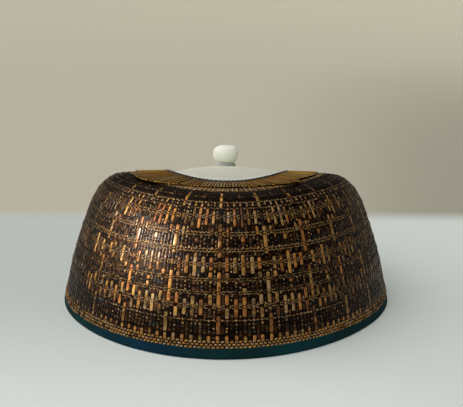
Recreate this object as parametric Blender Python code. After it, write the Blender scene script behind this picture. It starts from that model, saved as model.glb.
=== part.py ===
"""A stiff round cap of fine weave, with a bound hem, a plaited crown ring and a white domed centre.

Metres, +Z up. The front of the cap faces -Y and the hem rests on Z = 0, centred on the origin.
Every piece is turned from a profile and then shaped by the same out-of-round rule.
"""

import math

import bmesh
import bpy
from mathutils import Vector

MM = 0.001

# Driving dimensions in millimetres
WALL = 2.2
SEAT_GAP = 0.3
TURN_STEPS = 72
KNOB_STEPS = 24

# Outer face of the weave from the hem up to the middle of the crown: radius, height
OUTER_FACE = [
    {"radius": 93.0, "height": 0.0},
    {"radius": 87.4, "height": 24.0},
    {"radius": 80.4, "height": 44.5},
    {"radius": 73.6, "height": 56.5},
    {"radius": 64.6, "height": 63.3},
    {"radius": 54.0, "height": 65.0},
    {"radius": 38.6, "height": 65.0},
]
STEPS_PER_ROW = 2

# Out-of-round shape: an oval, longer from front to back, that comes to a blunt point at the front
OVAL = 0.032
FRONT_POINT = 0.031
FRONT_SKEW = 0.016
CROWN_ROUNDING = 0.5
SHARP_ANGLE = 40.0
MERGE_DISTANCE = 0.0001

# Crown height over its own mean: the sides rise, and the back falls away
SIDE_RISE = 4.0
BACK_FALL = 8.9
LEAN_FROM = 42.0
LEAN_POWER = 1.5
LEAN_FULL_WITHIN = 54.0
LEAN_BLEND = 8.0

# Hem binding: cloth folded round the thinned bottom edge of the weave
HEM_HEIGHT = 5.3
HEM_INSIDE_HEIGHT = 6.6
HEM_CLOTH = 1.1
HEM_PROUD = 0.2
HEM_UNDER = 1.2
HEM_FOLD_HEIGHT = 0.6
HEM_FOLD_OUTSIDE = 0.4
HEM_FOLD_INSIDE = 0.5
HEM_MIDDLE = 2.6
HEM_TOP_DROP = 0.4
HEM_TOP_SETBACK = 0.2
HEM_INSIDE_DROP = 0.3
LEAN_CLEAR_OF_HEM = 1.0

# Plaited ring on the crown: round inside and at the back, and nearly straight across the front
RING_INNER = 34.6
RING_HALF_WIDTH = 50.5
RING_FRONT_DEPTH = 46.3
RING_BACK_DEPTH = 50.0
RING_FRONT_SQUARENESS = 4.4
RING_BACK_SQUARENESS = 2.0
RING_SHARES = [1.0, 0.92, 0.74, 0.48, 0.23, 0.0]
RING_THICK = 1.3
RING_EDGE_LIFT = 0.5
RING_LIFT_FROM = 0.7

# Edging on the inner edge of the ring
CORD_RADIUS = 0.9
CORD_SIDES = 6
CORD_SINK = 0.36

# White centre
DOME_EDGE = 43.0
DOME_FLAT_FROM = 36.0
DOME_RADII = [0.0, 5.0, 11.0, 17.0, 22.0, 27.0, 31.0, 33.5]
DOME_STEPS = 36
DOME_CLOTH = 1.5
DOME_RISE = 9.4
DOME_POWER = 0.92
DOME_SPAN = 35.0
DOME_LEVEL = 63.0

# Knob
KNOB_X = -0.8
KNOB_WIDTH = 13.4
KNOB_HEIGHT = 10.0
KNOB_TOP = 84.2
NECK_WIDTH = 8.2
NECK_FOOT = 9.6
NECK_FOOT_HEIGHT = 0.7
NECK_STRAIGHT_FROM = 3.0
BALL_START = -0.78
BALL_ROWS = 10
BALL_FULLNESS = 0.84

COLOURS = {
    "woven_shell": {"colour": (0.055, 0.026, 0.014, 1.0), "roughness": 0.42},
    "hem_binding": {"colour": (0.010, 0.045, 0.065, 1.0), "roughness": 0.80},
    "crown_ring": {"colour": (0.33, 0.18, 0.075, 1.0), "roughness": 0.55},
    "rim_cord": {"colour": (0.020, 0.012, 0.010, 1.0), "roughness": 0.70},
    "crown_dome": {"colour": (0.70, 0.70, 0.66, 1.0), "roughness": 0.90},
    "crown_knob": {"colour": (0.78, 0.79, 0.75, 1.0), "roughness": 0.85},
}


def clear_scene():
    for obj in list(bpy.data.objects):
        bpy.data.objects.remove(obj, do_unlink=True)


def curve_through(rows, steps):
    """Points of a smooth curve through the rows, with this many steps from each row to the next."""
    nodes = [Vector((row["radius"], row["height"])) for row in rows]
    ends = [2 * nodes[0] - nodes[1]] + nodes + [2 * nodes[-1] - nodes[-2]]
    points = []
    for before, start, stop, after in zip(ends, ends[1:], ends[2:], ends[3:]):
        for step in range(steps):
            t = step / steps
            pull = (stop - before) * t + (2 * before - 5 * start + 4 * stop - after) * t**2
            bend = (3 * start - before - 3 * stop + after) * t**3
            points.append(start + 0.5 * (pull + bend))
    return points + [nodes[-1]]


OUTER = curve_through(OUTER_FACE, STEPS_PER_ROW)


def outward(points, index):
    """Unit normal of the outer face at this point, pointing out of the cap."""
    before = points[max(index - 1, 0)]
    after = points[min(index + 1, len(points) - 1)]
    along = (after - before).normalized()
    return Vector((along.y, -along.x))


def outer_radius(height):
    """Radius of the outer face at this height on the wall."""
    for low, high in zip(OUTER, OUTER[1:]):
        if low.y <= height <= high.y:
            share = (height - low.y) / (high.y - low.y)
            return low.x + share * (high.x - low.x)
    return OUTER[0].x


def crown_height(radius):
    """Height of the flat crown's outer face at this radius, before its lean."""
    for outside, inside in zip(OUTER, OUTER[1:]):
        if inside.x <= radius <= outside.x and outside.y > LEAN_FROM:
            share = (outside.x - radius) / (outside.x - inside.x)
            return outside.y + share * (inside.y - outside.y)
    return OUTER[-1].y


def nearest_height(radius, height):
    """Height of the outer face at the point nearest to a place in or on the wall."""
    place = Vector((radius, height))
    return min(OUTER, key=lambda point: (point - place).length_squared).y


def lean_share(radius, height):
    """How far a place follows the crown's lean: none low on the wall, all of it on the crown."""
    rise = (nearest_height(radius, height) - LEAN_FROM) / (OUTER[-1].y - LEAN_FROM)
    share = min(max(rise, 0.0), 1.0) ** LEAN_POWER
    blend = min(max((radius - LEAN_FULL_WITHIN) / LEAN_BLEND, 0.0), 1.0)
    return 1.0 + blend * (share - 1.0)


def out_of_round(angle, share):
    """Factor on the radius in this direction, which gets rounder towards the crown."""
    toward_front = ((1.0 - math.sin(angle)) / 2.0) ** 2
    point = FRONT_POINT * math.sin(3 * angle) + FRONT_SKEW * math.sin(2 * angle)
    return 1.0 + (1.0 - CROWN_ROUNDING * share) * (toward_front * point - OVAL * math.cos(2 * angle))


def centre_shift():
    """How far back the turning axis lies, so that the origin is under the middle of the hem."""
    reach = outer_radius(HEM_FOLD_HEIGHT) + HEM_PROUD
    front = reach * out_of_round(-math.pi / 2, 0.0)
    back = reach * out_of_round(math.pi / 2, 0.0)
    return (front - back) / 2


def shaped(place, lean=True):
    """A turned point moved to its place on the out-of-round, leaning cap."""
    radius = math.hypot(place.x, place.y)
    angle = math.atan2(place.y, place.x)
    share = lean_share(radius, place.z)
    factor = out_of_round(angle, share)
    inside = min(radius / RING_INNER, 1.0)
    tip = SIDE_RISE * math.cos(2 * angle) * inside**2 - BACK_FALL * math.sin(angle) * inside
    height = place.z + (share * tip if lean else 0.0)
    return Vector((place.x * factor, place.y * factor, height))


def turned(name, outline, closed=True, steps=TURN_STEPS):
    """A closed body turned about Z from (radius, height) points; an open outline ends on the axis."""
    mesh = bmesh.new()
    loop = [mesh.verts.new((point[0], 0.0, point[1])) for point in outline]
    following = loop[1:] + loop[:1] if closed else loop[1:]
    edges = [mesh.edges.new(pair) for pair in zip(loop, following)]
    bmesh.ops.spin(
        mesh,
        geom=loop + edges,
        cent=(0.0, 0.0, 0.0),
        axis=(0.0, 0.0, 1.0),
        angle=2 * math.pi,
        steps=steps,
        use_merge=True,
    )
    return finish(name, mesh)


def finish(name, mesh):
    """Cleans a turned mesh, shapes it to the cap and links it as an object."""
    bmesh.ops.remove_doubles(mesh, verts=mesh.verts, dist=MERGE_DISTANCE)
    shift = Vector((0.0, centre_shift(), 0.0))
    for vert in mesh.verts:
        vert.co = MM * (place_of(name, vert.co) + shift)
    bmesh.ops.recalc_face_normals(mesh, faces=mesh.faces)
    data = bpy.data.meshes.new(name)
    mesh.to_mesh(data)
    mesh.free()
    data.shade_smooth()
    data.set_sharp_from_angle(angle=math.radians(SHARP_ANGLE))
    data.materials.append(material(name))
    obj = bpy.data.objects.new(name, data)
    bpy.context.scene.collection.objects.link(obj)
    return obj


def material(name):
    """The piece's own plain finish."""
    made = bpy.data.materials.new(name)
    made.use_nodes = True
    shader = made.node_tree.nodes["Principled BSDF"]
    shader.inputs["Base Color"].default_value = COLOURS[name]["colour"]
    shader.inputs["Roughness"].default_value = COLOURS[name]["roughness"]
    shader.inputs["Metallic"].default_value = 0.0
    return made


def place_of(name, place):
    """Where a turned point of this piece belongs on the cap, in millimetres."""
    if name == "crown_knob":
        return knob_place(place)
    if name == "crown_ring":
        return ring_place(place)
    if place.z < HEM_INSIDE_HEIGHT + LEAN_CLEAR_OF_HEM:
        return shaped(place, lean=False)
    return shaped(place)


def ring_edge(angle):
    """Radius of the ring's outer edge in this direction."""
    to_front = math.sqrt((1.0 - math.sin(angle)) / 2.0)
    power = RING_BACK_SQUARENESS + (RING_FRONT_SQUARENESS - RING_BACK_SQUARENESS) * to_front
    depth = RING_FRONT_DEPTH if math.sin(angle) < 0.0 else RING_BACK_DEPTH
    across = abs(math.cos(angle) / RING_HALF_WIDTH) ** power
    along = abs(math.sin(angle) / depth) ** power
    return (across + along) ** (-1.0 / power)


def ring_place(place):
    """A point of the ring, turned as a band one unit wide, spread to its edge and laid on the crown."""
    angle = math.atan2(place.y, place.x)
    share = math.hypot(place.x, place.y) - RING_INNER
    radius = RING_INNER + share * (ring_edge(angle) - RING_INNER)
    height = crown_height(radius) + place.z
    return shaped(Vector((radius * math.cos(angle), radius * math.sin(angle), height)))


def dome_height(radius):
    """Height of the dome's outer face at this radius, before its lean."""
    inside = max(1.0 - (radius / DOME_SPAN) ** 2, 0.0)
    return DOME_LEVEL + DOME_RISE * inside**DOME_POWER


def knob_place(place):
    """The knob's foot follows the leaning dome under it, and its ball stands straight."""
    moved = Vector((place.x + KNOB_X, place.y, place.z))
    foot = dome_height(0.0) + SEAT_GAP
    straight = min(max((place.z - foot) / NECK_STRAIGHT_FROM, 0.0), 1.0)
    on_dome = shaped(moved)
    sunk = dome_height(0.0) - dome_height(math.hypot(moved.x, moved.y))
    lifted = (1.0 - straight) * (on_dome.z - place.z - sunk)
    return Vector((moved.x, moved.y, place.z + lifted))


def make_shell():
    """The woven wall, its shoulder and the flat of the crown, thinned where the hem grips it."""
    grip_top = HEM_HEIGHT + SEAT_GAP
    grip_in = HEM_CLOTH - HEM_PROUD + SEAT_GAP
    grip_low = HEM_UNDER + SEAT_GAP
    outline = [
        (outer_radius(grip_low) - grip_in, grip_low),
        (outer_radius(grip_top) - grip_in, grip_top),
        (outer_radius(grip_top), grip_top),
    ]
    outline += [tuple(point) for point in OUTER[1:]]
    inner = [tuple(point - WALL * outward(OUTER, index)) for index, point in enumerate(OUTER)]
    outline += inner[:0:-1]
    outline.append((outer_radius(grip_top) - WALL, grip_top))
    outline.append((outer_radius(grip_low) - WALL, grip_low))
    return turned("woven_shell", outline)


def make_hem():
    """Cloth folded round the bottom edge, flat underneath."""
    grip = HEM_CLOTH - HEM_PROUD
    inside = WALL + SEAT_GAP
    lining = inside + HEM_CLOTH
    outline = [(outer_radius(0.0) - HEM_FOLD_OUTSIDE, 0.0)]
    for height in (HEM_FOLD_HEIGHT, HEM_MIDDLE, HEM_HEIGHT - HEM_TOP_DROP):
        outline.append((outer_radius(height) + HEM_PROUD, height))
    outline.append((outer_radius(HEM_HEIGHT) - HEM_TOP_SETBACK, HEM_HEIGHT))
    outline.append((outer_radius(HEM_HEIGHT) - grip, HEM_HEIGHT))
    outline.append((outer_radius(HEM_UNDER) - grip, HEM_UNDER))
    outline.append((outer_radius(HEM_UNDER) - inside, HEM_UNDER))
    outline.append((outer_radius(HEM_INSIDE_HEIGHT) - inside, HEM_INSIDE_HEIGHT))
    outline.append((outer_radius(HEM_INSIDE_HEIGHT) - lining, HEM_INSIDE_HEIGHT - HEM_INSIDE_DROP))
    outline.append((outer_radius(HEM_FOLD_HEIGHT) - lining, HEM_FOLD_HEIGHT))
    outline.append((outer_radius(0.0) - lining + HEM_FOLD_INSIDE, 0.0))
    return turned("hem_binding", outline)


def make_ring():
    """The flat plaited ring, laid on the crown with its outer edge slightly lifted."""
    under = []
    over = []
    for share in RING_SHARES:
        rise = max((share - RING_LIFT_FROM) / (1.0 - RING_LIFT_FROM), 0.0)
        base = SEAT_GAP + RING_EDGE_LIFT * rise**2
        under.append((RING_INNER + share, base))
        over.append((RING_INNER + share, base + RING_THICK))
    return turned("crown_ring", under[::-1] + over)


def make_cord():
    """The round edging, seated against the ring's inner edge."""
    centre_radius = RING_INNER - SEAT_GAP - CORD_RADIUS
    centre_height = crown_height(RING_INNER) + SEAT_GAP + RING_THICK - CORD_SINK
    outline = []
    for side in range(CORD_SIDES):
        turn = 2 * math.pi * (side + 0.5) / CORD_SIDES
        radius = centre_radius + CORD_RADIUS * math.cos(turn)
        outline.append((radius, centre_height + CORD_RADIUS * math.sin(turn)))
    return turned("rim_cord", outline)


def make_dome():
    """The white cloth dome, its edge tucked under the flat of the crown."""
    edge_top = crown_height(DOME_EDGE) - WALL - SEAT_GAP
    over = [(radius, dome_height(radius)) for radius in DOME_RADII]
    over += [(DOME_FLAT_FROM, edge_top), (DOME_EDGE, edge_top)]
    under = [(radius, height - DOME_CLOTH) for radius, height in over]
    return turned("crown_dome", over + under[::-1], closed=False, steps=DOME_STEPS)


def make_knob():
    """A slightly flattened ball on a short neck."""
    foot = dome_height(0.0) + SEAT_GAP
    half_width = KNOB_WIDTH / 2
    half_height = KNOB_HEIGHT / 2
    middle = KNOB_TOP - half_height
    outline = [(0.0, foot), (NECK_FOOT / 2, foot), (NECK_WIDTH / 2, foot + NECK_FOOT_HEIGHT)]
    start = math.asin(BALL_START)
    for step in range(BALL_ROWS):
        turn = start + (math.pi / 2 - start) * step / BALL_ROWS
        across = half_width * math.cos(turn) ** BALL_FULLNESS
        rise = half_height * math.copysign(abs(math.sin(turn)) ** BALL_FULLNESS, turn)
        outline.append((across, middle + rise))
    outline.append((0.0, KNOB_TOP))
    return turned("crown_knob", outline, closed=False, steps=KNOB_STEPS)


def main():
    clear_scene()
    make_shell()
    make_hem()
    make_ring()
    make_cord()
    make_dome()
    make_knob()


main()
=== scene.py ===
import bisect
import math
import random
from collections import namedtuple

import bmesh
import bpy
from bpy.props import FloatProperty, FloatVectorProperty, IntProperty, PointerProperty
from mathutils import Matrix, Vector, noise


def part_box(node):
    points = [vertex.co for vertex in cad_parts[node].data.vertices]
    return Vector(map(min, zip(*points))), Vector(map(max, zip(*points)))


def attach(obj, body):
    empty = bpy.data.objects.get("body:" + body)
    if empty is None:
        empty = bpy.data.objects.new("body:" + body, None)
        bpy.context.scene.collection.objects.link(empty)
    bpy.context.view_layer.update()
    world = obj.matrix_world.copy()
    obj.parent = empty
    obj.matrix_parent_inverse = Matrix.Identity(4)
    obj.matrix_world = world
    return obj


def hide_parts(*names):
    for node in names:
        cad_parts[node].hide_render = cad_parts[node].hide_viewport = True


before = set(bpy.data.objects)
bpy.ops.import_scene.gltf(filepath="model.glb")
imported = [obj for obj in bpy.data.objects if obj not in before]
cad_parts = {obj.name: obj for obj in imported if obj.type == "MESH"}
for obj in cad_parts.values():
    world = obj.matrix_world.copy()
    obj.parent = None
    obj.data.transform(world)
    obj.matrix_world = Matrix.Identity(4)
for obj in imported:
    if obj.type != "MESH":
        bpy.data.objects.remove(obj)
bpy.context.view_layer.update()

bl_info = {
    "name": "Hausa cap",
    "version": (1, 0, 0),
    "blender": (4, 5, 0),
    "location": "3D View > Sidebar > Cap",
    "description": "Builds a stiff woven cap with its bound hem, crown ring, white dome and knob",
    "category": "Object",
}

MM = 0.001

# Shape of the cap in millimetres, as in the CAD part
OUTER_FACE = [
    (93.0, 0.0),
    (87.4, 24.0),
    (80.4, 44.5),
    (73.6, 56.5),
    (64.6, 63.3),
    (54.0, 65.0),
    (38.6, 65.0),
]
OVAL = 0.032
FRONT_POINT = 0.031
FRONT_SKEW = 0.016
CROWN_ROUNDING = 0.5
SIDE_RISE = 4.0
BACK_FALL = 8.9
LEAN_FROM = 42.0
LEAN_POWER = 1.5
LEAN_FULL_WITHIN = 54.0
LEAN_BLEND = 8.0
WALL = 2.2
SEAT_GAP = 0.3
RING_INNER = 34.6
RING_HALF_WIDTH = 50.5
RING_FRONT_DEPTH = 46.3
RING_BACK_DEPTH = 50.0
RING_FRONT_SQUARENESS = 4.4
RING_BACK_SQUARENESS = 2.0
PLAIT_THICK = 0.9
DOME_EDGE = 43.0
DOME_RISE = 9.4
DOME_POWER = 0.92
DOME_SPAN = 35.0
DOME_LEVEL = 63.0
DOME_CLOTH = 1.5
KNOB_X = -0.8
KNOB_HEIGHT = 10.0
KNOB_TOP = 84.2

# Swellings round the cap: amount, then middle and width in degrees from the front
HEM_DIPS = [(1.25, -66.0, 34.0), (0.85, 74.0, 34.0)]
RING_RAISES = [(0.7, -52.0, 22.0), (1.1, 44.0, 16.0)]
# Painted shade on the straw strands: their tone is lowered round the right side and at the left of the front
SIDE_PAINTED_SHADE = [(0.36, 80.0, 42.0), (0.33, -64.0, 30.0)]

# The ring's outer edge is tucked down, and torn away at the right of its front
RING_TUCK = 0.45
TEAR_DEPTH = 0.26
TEAR_FROM = 43.0
TEAR_STEEPNESS = 1.6
TEAR_MIDDLE, TEAR_WIDTH = 46.0, 26.0
TEAR_END = 90.0

# The weave is charted in repeats of six straw columns
REPEATS = 24
COLUMNS = 6
REPEAT_TURN = 360.0 / REPEATS
PITCH = REPEAT_TURN / COLUMNS
FIRST_COLUMN = -2.2

# Height in the chart, and the distance up the wall in millimetres that it stands for
CHART_ROWS = [
    (0.0, 0.0),
    (5.4, 5.1),
    (9.6, 9.1),
    (12.4, 11.9),
    (38.0, 36.6),
    (44.5, 42.9),
    (51.9, 49.9),
    (57.9, 55.2),
    (66.3, 63.1),
    (75.5, 71.6),
    (84.3, 83.4),
    (87.0, 89.5),
]

# Straw bars in the columns of one repeat: lower and upper end in the chart, and tone
LONG_BARS = [
    (71.0, 80.6, 0.60),
    (48.5, 62.5, 0.60),
    (26.0, 41.0, 0.58),
    (11.5, 21.5, 0.58),
    (64.9, 67.7, 0.36),
    (43.6, 46.4, 0.38),
    (22.8, 25.2, 0.36),
]
FLANK_BARS = [
    (62.6, 69.0, 0.50),
    (57.6, 61.5, 0.48),
    (42.0, 48.0, 0.52),
    (38.5, 41.0, 0.42),
    (25.5, 31.0, 0.50),
    (19.5, 24.6, 0.42),
]
SIDE_BARS = [(61.5, 70.5, 0.54), (40.5, 48.5, 0.52), (20.2, 28.5, 0.50)]
MIDDLE_BARS = [
    (61.0, 71.2, 0.60),
    (39.2, 49.5, 0.58),
    (20.5, 29.5, 0.56),
    (54.9, 57.2, 0.45),
    (34.9, 36.6, 0.45),
    (31.5, 34.0, 0.42),
]
COLUMN_BARS = [LONG_BARS, FLANK_BARS, SIDE_BARS, MIDDLE_BARS, SIDE_BARS, FLANK_BARS]
FOOT_BAR = (9.0, 11.3, 0.56)
HIGH_BARS_FROM = 56.0
HIGH_BAR_WIDTH = 0.76

# Dark patches beside the long bars: middle and half height in the chart, and half width in columns
DARK_PATCHES = [(54.6, 2.3, 1.2), (33.4, 2.6, 1.2), (72.0, 1.6, 0.8)]
DARK_PATCH_COLUMN = 1.6
DARK_ABOVE = 75.0
DARK_BELOW = 18.5
# Heights in the chart at which the middle column is not dark above the patches
HIGH_DASHES = [(76.0, 77.8), (79.0, 80.8)]

# Rows of short dashes: first and last height in the chart, step, and length of a dash
TICKS = (12.6, 82.0, 1.78, 1.15)
FINE_TICKS = (12.2, 74.0, 1.92, 1.25)
HALF_DASH = 0.6
CLEAR_OF_PAIR = 1.0
CLEAR_OF_BAR = 0.35
# Single dashes: at the top of each column, on the shoulder, and at the top between the columns
TOP_DASH = (83.4, 86.9)
SHOULDER_DASH = (71.6, 73.1)
TOP_FINE_DASH = (83.8, 86.5)

# Pairs of twined lines: height in the chart, and tone
TWINED_PAIRS = {66.3: 0.60, 58.6: 0.60, 51.3: 0.60, 45.0: 0.60, 37.7: 0.42, 31.5: 0.42, 25.0: 0.60}
HALF_PAIR = 0.56
# Single twined lines: height in the chart, tone and lean
SINGLE_LINES = [
    (18.5, 0.42, 1.0),
    (74.2, 0.52, 1.0),
    (82.9, 0.40, -1.0),
    (77.4, 0.26, 1.0),
    (70.6, 0.34, 1.0),
]
TWINE_WAVE = 0.12
STITCH_ROWS = (8.55, 7.25, 5.95)
STITCH_TOP = 9.6
STITCH_REACH = 3.3

# Height of one cell of the dark ground
CELL = 1.16

# Strands: the blunt end's length and fullness, the least radius that their width is reckoned at,
# the wall's millimetres to a degree, and the range of a copy's length and of its lift over its height
BLUNT = 0.85
END_FULLNESS = 0.28
NARROW_RADIUS = 52.0
WALL_SCALE = 1.3
LENGTHS = (0.86, 1.08)
LIFTS = (-0.25, 0.12)

Strand = namedtuple("Strand", "turn distance half_turn half_length height tone slant")


def curve_through(rows, steps):
    """Points of a smooth curve through the rows, with this many steps from each row to the next."""
    nodes = [Vector(row) for row in rows]
    ends = [2 * nodes[0] - nodes[1]] + nodes + [2 * nodes[-1] - nodes[-2]]
    points = []
    for before, start, stop, after in zip(ends, ends[1:], ends[2:], ends[3:]):
        for step in range(steps):
            t = step / steps
            pull = (stop - before) * t + (2 * before - 5 * start + 4 * stop - after) * t**2
            bend = (3 * start - before - 3 * stop + after) * t**3
            points.append(start + 0.5 * (pull + bend))
    return points + [nodes[-1]]


FACE = curve_through(OUTER_FACE, 10)
REACH = [0.0]
for low_point, high_point in zip(FACE, FACE[1:]):
    REACH.append(REACH[-1] + (high_point - low_point).length)


def face_at(distance):
    """Place and outward normal of the outer face, this far up the wall from the hem's bottom."""
    index = min(max(bisect.bisect_right(REACH, distance) - 1, 0), len(FACE) - 2)
    share = (distance - REACH[index]) / (REACH[index + 1] - REACH[index])
    place = FACE[index].lerp(FACE[index + 1], share)
    before = (FACE[index + 1] - FACE[max(index - 1, 0)]).normalized()
    after = (FACE[min(index + 2, len(FACE) - 1)] - FACE[index]).normalized()
    along = before.lerp(after, min(max(share, 0.0), 1.0)).normalized()
    return place, Vector((along.y, -along.x))


def between(rows, value):
    """What a value stands for in a table of rising pairs."""
    for (low, first), (high, last) in zip(rows, rows[1:]):
        if low <= value <= high:
            return first + (value - low) / (high - low) * (last - first)
    return rows[-1][1]


HEIGHTS = [(point.y, reach) for point, reach in zip(FACE, REACH)]
RADII = [(-point.x, reach) for point, reach in zip(FACE, REACH)]


def reach_of_radius(radius):
    """Distance up the wall at which the flat of the crown has this radius."""
    return between(RADII, -radius)


def reach_of_height(height):
    """Distance up the wall at this height."""
    return between(HEIGHTS, height)


def reach_of_row(row):
    """Distance up the wall at this height in the chart."""
    return between(CHART_ROWS, row)


def crown_height(radius):
    """Height of the crown's outer face at this radius, before its lean."""
    return face_at(reach_of_radius(radius))[0].y


def out_of_round(angle, share):
    """Factor on the radius in this direction, which gets rounder towards the crown."""
    toward_front = ((1.0 - math.sin(angle)) / 2.0) ** 2
    point = FRONT_POINT * math.sin(3 * angle) + FRONT_SKEW * math.sin(2 * angle)
    return 1.0 + (1.0 - CROWN_ROUNDING * share) * (toward_front * point - OVAL * math.cos(2 * angle))


def hem_shift():
    """How far the turning axis lies behind the origin, from the hem's own size in the frame."""
    low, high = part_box("hem_binding")
    front = out_of_round(-math.pi / 2, 0.0)
    back = out_of_round(math.pi / 2, 0.0)
    return (high.y - low.y) / MM * (front - back) / (front + back) / 2


SHIFT = hem_shift()


def shaped(turn, radius, height, face_height, lean=True):
    """A point of the round cap at its place on the out-of-round, leaning cap, in metres.

    The turn is in radians from the middle of the front, to the right as the front is looked at.
    """
    angle = turn - math.pi / 2
    rise = (face_height - LEAN_FROM) / (FACE[-1].y - LEAN_FROM)
    share = min(max(rise, 0.0), 1.0) ** LEAN_POWER
    blend = min(max((radius - LEAN_FULL_WITHIN) / LEAN_BLEND, 0.0), 1.0)
    share = 1.0 + blend * (share - 1.0)
    factor = out_of_round(angle, share)
    inside = min(radius / RING_INNER, 1.0)
    tip = SIDE_RISE * math.cos(2 * angle) * inside**2 - BACK_FALL * math.sin(angle) * inside
    tall = height + (share * tip if lean else 0.0)
    across = radius * factor
    return Vector((across * math.cos(angle) * MM, (across * math.sin(angle) + SHIFT) * MM, tall * MM))


def on_wall(turn, distance, lift):
    """A place on the weave: turn in degrees, distance up the wall and lift off it in millimetres."""
    place, normal = face_at(distance)
    point = place + lift * normal
    return shaped(math.radians(turn), point.x, point.y, place.y)


def ring_edge(angle):
    """Radius of the ring's outer edge in this direction."""
    to_front = math.sqrt((1.0 - math.sin(angle)) / 2.0)
    power = RING_BACK_SQUARENESS + (RING_FRONT_SQUARENESS - RING_BACK_SQUARENESS) * to_front
    depth = RING_FRONT_DEPTH if math.sin(angle) < 0.0 else RING_BACK_DEPTH
    across = abs(math.cos(angle) / RING_HALF_WIDTH) ** power
    along = abs(math.sin(angle) / depth) ** power
    return (across + along) ** (-1.0 / power)


def swell(turn, middle, width):
    """A smooth swelling round the cap, from 0 to 1, centred on one direction."""
    return math.exp(-(((turn - middle + 180.0) % 360.0 - 180.0) / width) ** 2)


def swells(turn, rows):
    """Sum of the swellings of a table in this direction."""
    return sum(amount * swell(turn, middle, width) for amount, middle, width in rows)


def over_hem(turn, distance, lift):
    """A place in the stitches over the hem, which reach lower where the hem is lowered."""
    lowered = swells(turn, HEM_DIPS) * max(STITCH_TOP - distance, 0.0) / STITCH_REACH
    return on_wall(turn, distance - lowered, lift)


def on_ring(turn, share, lift):
    """A place over the ring's upper face, at this share of the way from its inner to its outer edge."""
    if turn < TEAR_END:
        torn = TEAR_DEPTH / (1.0 + math.exp(-(turn - TEAR_FROM) * TEAR_STEEPNESS))
        share *= 1.0 - torn * swell(turn, TEAR_MIDDLE, TEAR_WIDTH)
    radius = RING_INNER + share * (ring_edge(math.radians(turn) - math.pi / 2) - RING_INNER)
    crown = crown_height(radius)
    raised = swells(turn, RING_RAISES) * share**2 - RING_TUCK * share**3
    return shaped(math.radians(turn), radius, crown + SEAT_GAP + raised + PLAIT_THICK + lift, crown)


def dome_height(radius):
    """Height of the dome's outer face at this radius, before its lean."""
    inside = max(1.0 - (radius / DOME_SPAN) ** 2, 0.0)
    return DOME_LEVEL + DOME_RISE * inside**DOME_POWER


class CapWeave(bpy.types.PropertyGroup):
    """Sizes of the straw and grass that the cap is woven of."""

    bar_width: FloatProperty(
        name="Bar width", description="Width of a straw bar", default=1.74e-3, unit="LENGTH"
    )
    bar_height: FloatProperty(
        name="Bar height", description="How far a straw bar stands off the wall",
        default=0.15e-3, unit="LENGTH",
    )
    tick_width: FloatProperty(
        name="Tick width", description="Width of a narrow strand between the bars",
        default=0.85e-3, unit="LENGTH",
    )
    twine_width: FloatProperty(
        name="Twine width", description="Thickness of a twined strand", default=0.42e-3, unit="LENGTH"
    )
    row_pitch: FloatProperty(
        name="Row pitch", description="Height of one dark woven row", default=1.28e-3, unit="LENGTH"
    )
    relief: FloatProperty(
        name="Relief", description="Depth of the dark weave between its crossings",
        default=0.2e-3, unit="LENGTH",
    )
    unevenness: FloatProperty(
        name="Unevenness", description="How far hand work strays from the chart",
        default=0.22e-3, unit="LENGTH",
    )


class CapTrim(bpy.types.PropertyGroup):
    """Sizes of the hem, ring, edging, dome and knob."""

    hem_pucker: FloatProperty(
        name="Hem pucker", description="Depth of the puckers in the hem cloth", default=0.28e-3, unit="LENGTH"
    )
    splints: IntProperty(
        name="Ring splints", description="Number of splints across the ring", default=188, min=24
    )
    edging_plies: IntProperty(
        name="Edging turns", description="Number of twists round the edging", default=96, min=12
    )
    gather: FloatProperty(
        name="Gather", description="Depth of the gathers in the dome's cloth", default=0.09e-3, unit="LENGTH"
    )
    yarn: FloatProperty(
        name="Yarn", description="Thickness of the yarn round the knob's neck", default=0.95e-3, unit="LENGTH"
    )


COLOUR = {"size": 4, "subtype": "COLOR"}


class CapColours(bpy.types.PropertyGroup):
    """Colours of the cap's finishes and of the stage."""

    straw: FloatVectorProperty(
        name="Straw", description="Polished straw", default=(0.310, 0.140, 0.035, 1.0), **COLOUR
    )
    ground: FloatVectorProperty(
        name="Ground", description="Dark dyed grass", default=(0.0044, 0.0014, 0.0002, 1.0), **COLOUR
    )
    hem: FloatVectorProperty(
        name="Hem", description="Dyed hem cloth", default=(0.0033, 0.0225, 0.0240, 1.0), **COLOUR
    )
    ring: FloatVectorProperty(
        name="Ring", description="Plaited ring", default=(0.29, 0.150, 0.027, 1.0), **COLOUR
    )
    edging: FloatVectorProperty(
        name="Edging", description="Dark thread of the edging", default=(0.008, 0.004, 0.003, 1.0), **COLOUR
    )
    # Painted shade: the dome's white cotton is greyed to the shade it lies in
    dome: FloatVectorProperty(
        name="Dome", description="Off-white cotton of the dome", default=(0.62, 0.645, 0.47, 1.0), **COLOUR
    )
    white: FloatVectorProperty(
        name="White", description="Cotton of the knob", default=(0.80, 0.82, 0.70, 1.0), **COLOUR
    )
    floor: FloatVectorProperty(
        name="Floor", description="Floor under the cap", default=(0.80, 0.865, 0.855, 1.0), **COLOUR
    )
    far: FloatVectorProperty(
        name="Far floor", description="Floor behind the cap", default=(0.555, 0.525, 0.425, 1.0), **COLOUR
    )


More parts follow.
